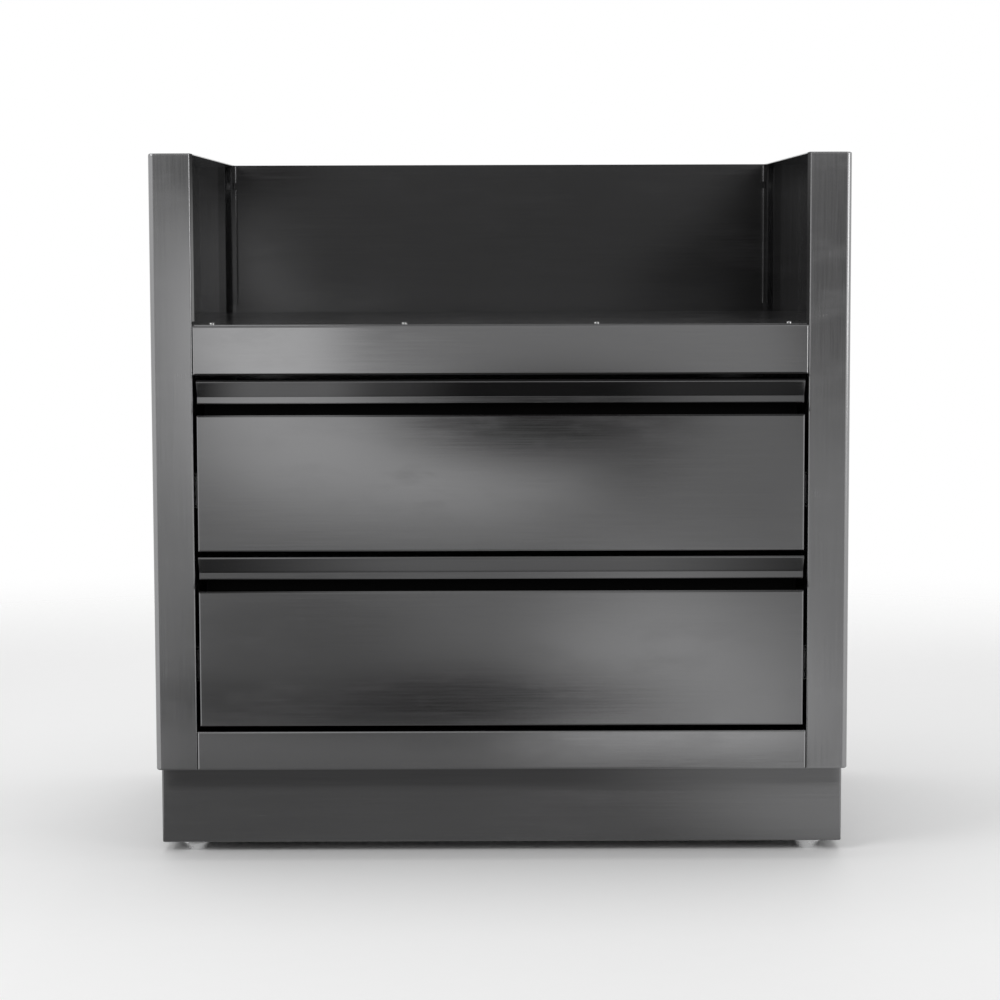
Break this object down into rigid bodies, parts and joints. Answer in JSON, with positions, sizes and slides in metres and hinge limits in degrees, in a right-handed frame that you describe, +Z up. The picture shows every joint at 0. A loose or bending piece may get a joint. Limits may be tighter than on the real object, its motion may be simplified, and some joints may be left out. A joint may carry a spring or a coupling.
{
  "type": "under-grill cabinet",
  "caption": "Free-standing stainless outdoor-kitchen cabinet with an open bay for a drop-in grill above full-width drawers with scooped pulls, on a recessed plinth with levelling feet.",
  "frame": {"origin": "on the floor under the middle of the cabinet", "axes": "+X to the right seen from the front, +Y to the back, +Z up; the drawers open towards -Y"},
  "size_m": [0.895, 0.616, 0.914],
  "materials": {
    "cabinet_steel": "brushed dark stainless",
    "drawer_steel": "brushed dark stainless",
    "bay_steel": "brushed dark stainless",
    "inner_steel": "mill-finish stainless",
    "slide_zinc": "bright zinc plate",
    "foot_steel": "turned and polished",
    "fasteners": "plain stainless",
    "liner_plastic": "matt black",
    "bumper_rubber": "matt black"
  },
  "bodies": {
    "cabinet": {"left_side_panel": "cabinet_steel", "right_side_panel": "cabinet_steel", "back_panel": "bay_steel", "bay_corner_strips": "bay_steel", "top_rail": "cabinet_steel", "bottom_rail": "cabinet_steel", "grill_deck": "bay_steel", "floor_panel": "inner_steel", "left_slide_panel": "inner_steel", "right_slide_panel": "inner_steel", "toe_kick": "cabinet_steel", "rear_plinth": "cabinet_steel", "foot_brackets": "inner_steel", "levelling_nuts": "fasteners", "deck_screws": "fasteners", "back_panel_screws": "fasteners", "rail_screws": "fasteners", "toe_kick_screws": "fasteners", "slide_screws": "fasteners", "slide_bumpers": "bumper_rubber", "lower_left_slide_outer": "slide_zinc", "lower_right_slide_outer": "slide_zinc", "upper_left_slide_outer": "slide_zinc", "upper_right_slide_outer": "slide_zinc"},
    "lower_drawer": {"lower_drawer_front": "drawer_steel", "lower_pull_rail": "drawer_steel", "lower_finger_liner": "liner_plastic", "lower_box_front": "inner_steel", "lower_box_left_side": "inner_steel", "lower_box_right_side": "inner_steel", "lower_box_back": "inner_steel", "lower_box_bottom": "inner_steel", "lower_drawer_screws": "fasteners", "lower_left_slide_inner": "slide_zinc", "lower_right_slide_inner": "slide_zinc"},
    "lower_slide_mids": {"lower_left_slide_mid": "slide_zinc", "lower_right_slide_mid": "slide_zinc"},
    "lower_outer_cages": {"lower_outer_ball_cages": "slide_zinc"},
    "lower_inner_cages": {"lower_inner_ball_cages": "slide_zinc"},
    "upper_drawer": {"upper_drawer_front": "drawer_steel", "upper_pull_rail": "drawer_steel", "upper_finger_liner": "liner_plastic", "upper_box_front": "inner_steel", "upper_box_left_side": "inner_steel", "upper_box_right_side": "inner_steel", "upper_box_back": "inner_steel", "upper_box_bottom": "inner_steel", "upper_drawer_screws": "fasteners", "upper_left_slide_inner": "slide_zinc", "upper_right_slide_inner": "slide_zinc"},
    "upper_slide_mids": {"upper_left_slide_mid": "slide_zinc", "upper_right_slide_mid": "slide_zinc"},
    "upper_outer_cages": {"upper_outer_ball_cages": "slide_zinc"},
    "upper_inner_cages": {"upper_inner_ball_cages": "slide_zinc"},
    "front_left_foot": {"front_left_foot": "foot_steel"},
    "front_right_foot": {"front_right_foot": "foot_steel"},
    "rear_left_foot": {"rear_left_foot": "foot_steel"},
    "rear_right_foot": {"rear_right_foot": "foot_steel"}
  },
  "joints": [
    {"name": "lower_drawer_slide", "type": "slide", "parent": "cabinet", "child": "lower_drawer", "axis": [0, -1, 0], "range_m": [0, 0.5]},
    {"name": "lower_slide_mids_travel", "type": "slide", "parent": "cabinet", "child": "lower_slide_mids", "axis": [0, -1, 0], "range_m": [0, 0.25]},
    {"name": "lower_outer_cages_travel", "type": "slide", "parent": "cabinet", "child": "lower_outer_cages", "axis": [0, -1, 0], "range_m": [0, 0.125]},
    {"name": "lower_inner_cages_travel", "type": "slide", "parent": "cabinet", "child": "lower_inner_cages", "axis": [0, -1, 0], "range_m": [0, 0.375]},
    {"name": "upper_drawer_slide", "type": "slide", "parent": "cabinet", "child": "upper_drawer", "axis": [0, -1, 0], "range_m": [0, 0.5]},
    {"name": "upper_slide_mids_travel", "type": "slide", "parent": "cabinet", "child": "upper_slide_mids", "axis": [0, -1, 0], "range_m": [0, 0.25]},
    {"name": "upper_outer_cages_travel", "type": "slide", "parent": "cabinet", "child": "upper_outer_cages", "axis": [0, -1, 0], "range_m": [0, 0.125]},
    {"name": "upper_inner_cages_travel", "type": "slide", "parent": "cabinet", "child": "upper_inner_cages", "axis": [0, -1, 0], "range_m": [0, 0.375]},
    {"name": "front_left_foot_screw", "type": "slide", "parent": "cabinet", "child": "front_left_foot", "axis": [0, 0, -1], "range_m": [0, 0.03]},
    {"name": "front_right_foot_screw", "type": "slide", "parent": "cabinet", "child": "front_right_foot", "axis": [0, 0, -1], "range_m": [0, 0.03]},
    {"name": "rear_left_foot_screw", "type": "slide", "parent": "cabinet", "child": "rear_left_foot", "axis": [0, 0, -1], "range_m": [0, 0.03]},
    {"name": "rear_right_foot_screw", "type": "slide", "parent": "cabinet", "child": "rear_right_foot", "axis": [0, 0, -1], "range_m": [0, 0.03]}
  ],
  "couplings": [
    {"joint": "lower_slide_mids_travel", "follows": "lower_drawer_slide", "ratio": 0.5},
    {"joint": "lower_outer_cages_travel", "follows": "lower_drawer_slide", "ratio": 0.25},
    {"joint": "lower_inner_cages_travel", "follows": "lower_drawer_slide", "ratio": 0.75},
    {"joint": "upper_slide_mids_travel", "follows": "upper_drawer_slide", "ratio": 0.5},
    {"joint": "upper_outer_cages_travel", "follows": "upper_drawer_slide", "ratio": 0.25},
    {"joint": "upper_inner_cages_travel", "follows": "upper_drawer_slide", "ratio": 0.75}
  ]
}
